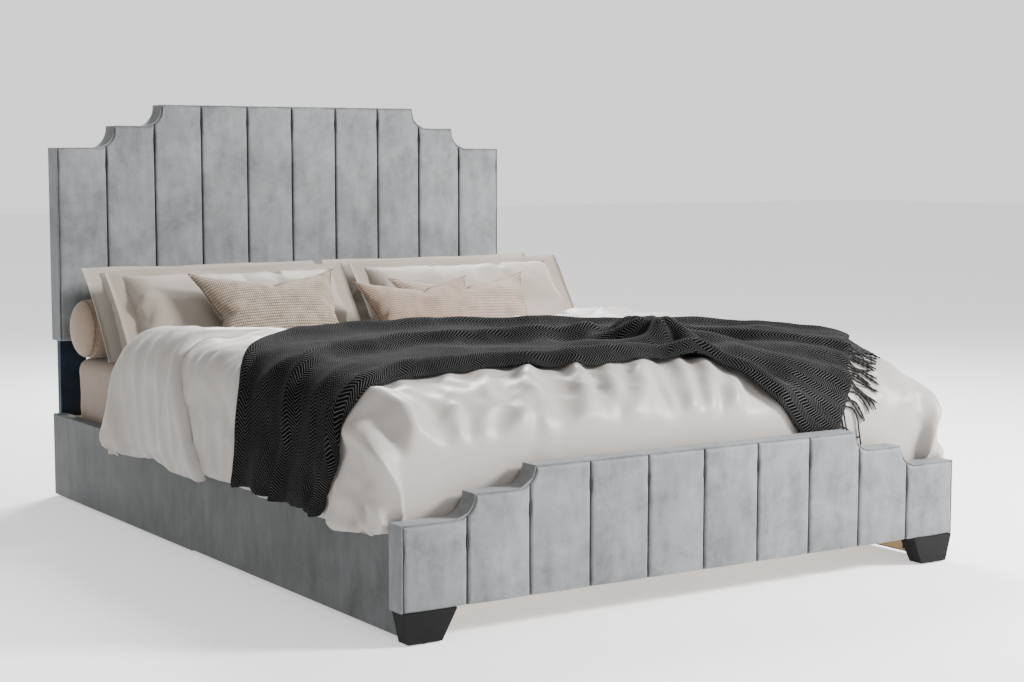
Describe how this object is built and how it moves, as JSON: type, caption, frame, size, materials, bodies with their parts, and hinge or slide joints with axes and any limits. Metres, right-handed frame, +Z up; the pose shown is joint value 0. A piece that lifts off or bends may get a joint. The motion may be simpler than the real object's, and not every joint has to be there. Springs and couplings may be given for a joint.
{
  "type": "upholstered panel bed",
  "caption": "Queen-size velvet panel bed with stepped, channel-tufted headboard and low footboard, slatted base, mattress, bolster, pillows, cushions, duvet and throw.",
  "frame": {"origin": "centre of the floor area under the bed, at floor level", "axes": "+Z up, +Y from the footboard towards the headboard, +X across the bed, to the right when facing the headboard"},
  "size_m": [1.7351, 2.24, 1.219],
  "materials": {
    "velvet_channels": "matte",
    "velvet_band": "matte",
    "velvet_rail": "matte",
    "dust_cloth": "matte",
    "plywood": "matte",
    "pine": "matte",
    "post_paint": "satin",
    "foot_paint": "satin",
    "glide_plastic": "matte",
    "zinc_steel": "satin",
    "black_steel": "satin",
    "levelling_foot": "satin",
    "mattress_ticking": "matte",
    "sheet_cotton": "matte",
    "bolster_cotton": "matte",
    "pillow_back": "matte",
    "pillow_front": "matte",
    "cushion_oatmeal": "matte",
    "cushion_ribbed": "matte",
    "cushion_plain": "matte",
    "duvet_sateen": "satin",
    "throw_wool": "matte"
  },
  "bodies": {
    "bed_frame": {"beam_hangers": "black_steel", "beam_splice_sleeve": "zinc_steel", "bracket_bolts": "zinc_steel", "bracket_foot_left": "black_steel", "bracket_foot_right": "black_steel", "bracket_head_left": "black_steel", "bracket_head_right": "black_steel", "centre_beam_foot": "black_steel", "centre_beam_head": "black_steel", "floor_glides": "glide_plastic", "foot_hanger_bolts": "zinc_steel", "footboard_channels": "velvet_channels", "footboard_core": "plywood", "footboard_edge_band": "velvet_band", "footboard_foot_left": "foot_paint", "footboard_foot_right": "foot_paint", "footboard_inner_lining": "velvet_band", "head_cross_rail": "pine", "headboard_back_cloth": "dust_cloth", "headboard_battens": "pine", "headboard_channels": "velvet_channels", "headboard_core": "plywood", "headboard_edge_band": "velvet_band", "headboard_post_left": "post_paint", "headboard_post_right": "post_paint", "headboard_t_nuts": "zinc_steel", "post_bolts": "zinc_steel", "rail_cover_front_left": "velvet_rail", "rail_cover_front_right": "velvet_rail", "rail_cover_rear_left": "velvet_rail", "rail_cover_rear_right": "velvet_rail", "rail_joint_bolts": "zinc_steel", "rail_joint_plate_left": "black_steel", "rail_joint_plate_right": "black_steel", "side_rail_front_left": "pine", "side_rail_front_right": "pine", "side_rail_rear_left": "pine", "side_rail_rear_right": "pine", "slat_ledger_left": "pine", "slat_ledger_right": "pine", "slats": "pine", "support_leg_1": "black_steel", "support_leg_2": "black_steel", "support_leg_3": "black_steel", "support_screws": "zinc_steel"},
    "mattress": {"mattress": "mattress_ticking", "fitted_sheet": "sheet_cotton"},
    "duvet": {"duvet": "duvet_sateen"},
    "throw_blanket": {"throw_blanket": "throw_wool"},
    "bolster": {"bolster": "bolster_cotton"},
    "cushion_oatmeal": {"cushion_oatmeal": "cushion_oatmeal"},
    "cushion_plain": {"cushion_plain": "cushion_plain"},
    "cushion_ribbed": {"cushion_ribbed": "cushion_ribbed"},
    "levelling_foot_1": {"levelling_foot_1": "levelling_foot"},
    "levelling_foot_2": {"levelling_foot_2": "levelling_foot"},
    "levelling_foot_3": {"levelling_foot_3": "levelling_foot"},
    "pillow_back_left": {"pillow_back_left": "pillow_back"},
    "pillow_back_right": {"pillow_back_right": "pillow_back"},
    "pillow_front_left": {"pillow_front_left": "pillow_front"},
    "pillow_front_right": {"pillow_front_right": "pillow_front"}
  },
  "joints": [
    {"name": "mattress_lift", "type": "slide", "parent": "bed_frame", "child": "mattress", "axis": [0, 0, 1], "range_m": [0, 0.45]},
    {"name": "duvet_lift", "type": "slide", "parent": "mattress", "child": "duvet", "axis": [0, 0, 1], "range_m": [0, 0.4]},
    {"name": "throw_lift", "type": "slide", "parent": "duvet", "child": "throw_blanket", "axis": [0, 0, 1], "range_m": [0, 0.3]},
    {"name": "bolster_lift", "type": "slide", "parent": "mattress", "child": "bolster", "axis": [0, 0, 1], "range_m": [0, 0.3]},
    {"name": "pillow_back_left_slide", "type": "slide", "parent": "bolster", "child": "pillow_back_left", "axis": [0, 0.6157, 0.788], "range_m": [0, 0.18]},
    {"name": "pillow_back_right_slide", "type": "slide", "parent": "bolster", "child": "pillow_back_right", "axis": [0, 0.6157, 0.788], "range_m": [0, 0.18]},
    {"name": "pillow_front_left_slide", "type": "slide", "parent": "pillow_back_left", "child": "pillow_front_left", "axis": [0, 0.6157, 0.788], "range_m": [0, 0.3]},
    {"name": "pillow_front_right_slide", "type": "slide", "parent": "pillow_back_right", "child": "pillow_front_right", "axis": [0, 0.6157, 0.788], "range_m": [0, 0.3]},
    {"name": "cushion_oatmeal_lift", "type": "slide", "parent": "pillow_front_left", "child": "cushion_oatmeal", "axis": [0, 0, 1], "range_m": [0, 0.3]},
    {"name": "cushion_plain_lift", "type": "slide", "parent": "pillow_front_right", "child": "cushion_plain", "axis": [0, 0, 1], "range_m": [0, 0.3]},
    {"name": "cushion_ribbed_lift", "type": "slide", "parent": "cushion_plain", "child": "cushion_ribbed", "axis": [0, 0, 1], "range_m": [0, 0.3]},
    {"name": "levelling_foot_1_screw", "type": "slide", "parent": "bed_frame", "child": "levelling_foot_1", "axis": [0, 0, 1], "range_m": [0, 0.012]},
    {"name": "levelling_foot_2_screw", "type": "slide", "parent": "bed_frame", "child": "levelling_foot_2", "axis": [0, 0, 1], "range_m": [0, 0.012]},
    {"name": "levelling_foot_3_screw", "type": "slide", "parent": "bed_frame", "child": "levelling_foot_3", "axis": [0, 0, 1], "range_m": [0, 0.012]}
  ]
}
